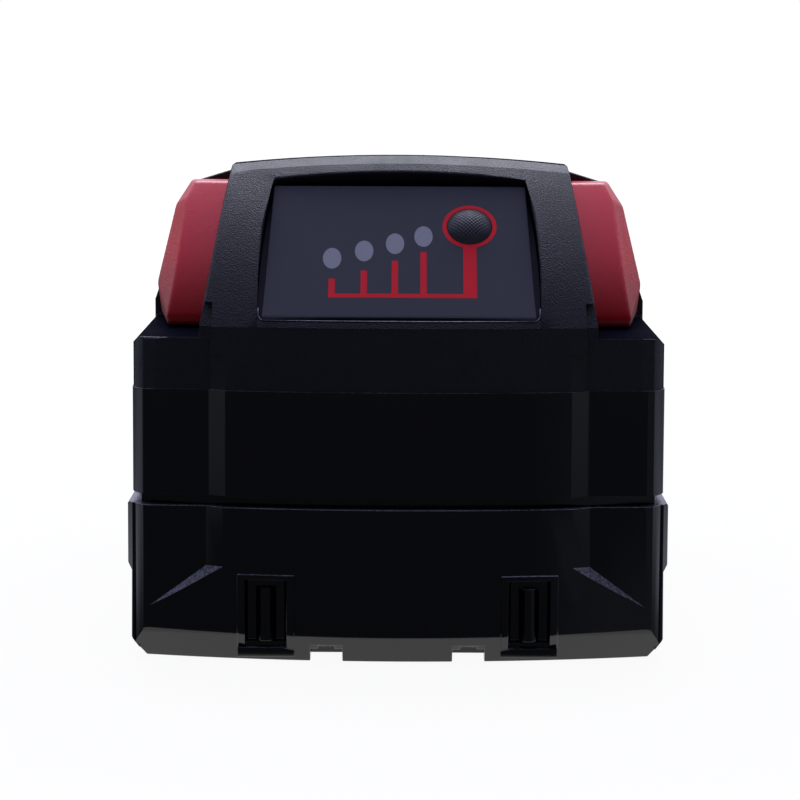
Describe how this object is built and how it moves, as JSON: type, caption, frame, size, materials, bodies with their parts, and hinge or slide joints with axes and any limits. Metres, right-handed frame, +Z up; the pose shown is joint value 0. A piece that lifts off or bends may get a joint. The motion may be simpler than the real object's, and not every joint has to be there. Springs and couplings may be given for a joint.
{
  "type": "power tool battery pack",
  "caption": "Slide-on rechargeable battery pack for a cordless power tool, with a black case, a sloped fuel gauge, red side latches and a rail block on top.",
  "frame": {"origin": "middle of the base, on the surface that the pack stands on", "axes": "+Z up, the gauge side faces -Y, +X is to the right as the gauge is read"},
  "size_m": [0.0812, 0.126, 0.0747],
  "materials": {
    "case_texture": "fine spark-eroded texture",
    "case_gloss": "polished",
    "latch_red": "polished, grained grip",
    "panel_grey": "satin",
    "lens_grey": "frosted",
    "button_rubber": "cross-hatched",
    "switch_plastic": "moulded",
    "led_white": "clear",
    "board_green": "solder mask",
    "steel": "zinc plated",
    "cable_white": "flat ribbon",
    "chip_black": "moulded",
    "frame_plastic": "moulded",
    "contact_copper": "stamped",
    "cell_wrap": "shrink sleeve",
    "insulator": "fibre sheet",
    "nickel": "stamped",
    "foam_grey": "closed-cell foam"
  },
  "bodies": {
    "pack": {"upper_housing": "case_texture", "middle_housing": "case_gloss", "lower_tray": "case_gloss", "latch_spring_left": "steel", "latch_spring_right": "steel", "gauge_panel": "panel_grey", "gauge_lenses": "lens_grey", "gauge_switch": "switch_plastic", "gauge_leds": "led_white", "gauge_board": "board_green", "gauge_screws": "steel", "gauge_cable": "cable_white", "main_board": "board_green", "board_parts": "chip_black", "board_screws": "steel", "terminal_block": "frame_plastic", "power_contacts": "contact_copper", "signal_contacts": "contact_copper", "cell_frame_left": "frame_plastic", "cell_frame_right": "frame_plastic", "cell_1": "cell_wrap", "cell_2": "cell_wrap", "cell_3": "cell_wrap", "cell_4": "cell_wrap", "cell_5": "cell_wrap", "cell_6": "cell_wrap", "cell_7": "cell_wrap", "cell_8": "cell_wrap", "cell_9": "cell_wrap", "cell_10": "cell_wrap", "insulator_rings": "insulator", "strip_negative": "nickel", "strip_link_1": "nickel", "strip_link_2": "nickel", "strip_link_3": "nickel", "strip_link_4": "nickel", "strip_positive": "nickel", "end_sheet_left": "insulator", "end_sheet_right": "insulator", "thermistor": "chip_black", "floor_pad": "foam_grey", "case_screws": "steel"},
    "latch_left": {"latch_left": "latch_red"},
    "latch_right": {"latch_right": "latch_red"},
    "button": {"gauge_button": "button_rubber", "switch_plunger": "switch_plastic"}
  },
  "joints": [
    {"name": "latch_left_press", "type": "slide", "parent": "pack", "child": "latch_left", "axis": [1, 0, 0], "range_m": [0, 0.004], "stiffness_N_per_m": 600, "springref_m": -0.003, "deforming": ["latch_spring_left"]},
    {"name": "latch_right_press", "type": "slide", "parent": "pack", "child": "latch_right", "axis": [-1, 0, 0], "range_m": [0, 0.004], "stiffness_N_per_m": 600, "springref_m": -0.003, "deforming": ["latch_spring_right"]},
    {"name": "gauge_button_press", "type": "slide", "parent": "pack", "child": "button", "axis": [0, 0.7431, -0.6691], "range_m": [0, 0.0005], "stiffness_N_per_m": 1500, "springref_m": -0.0005}
  ]
}
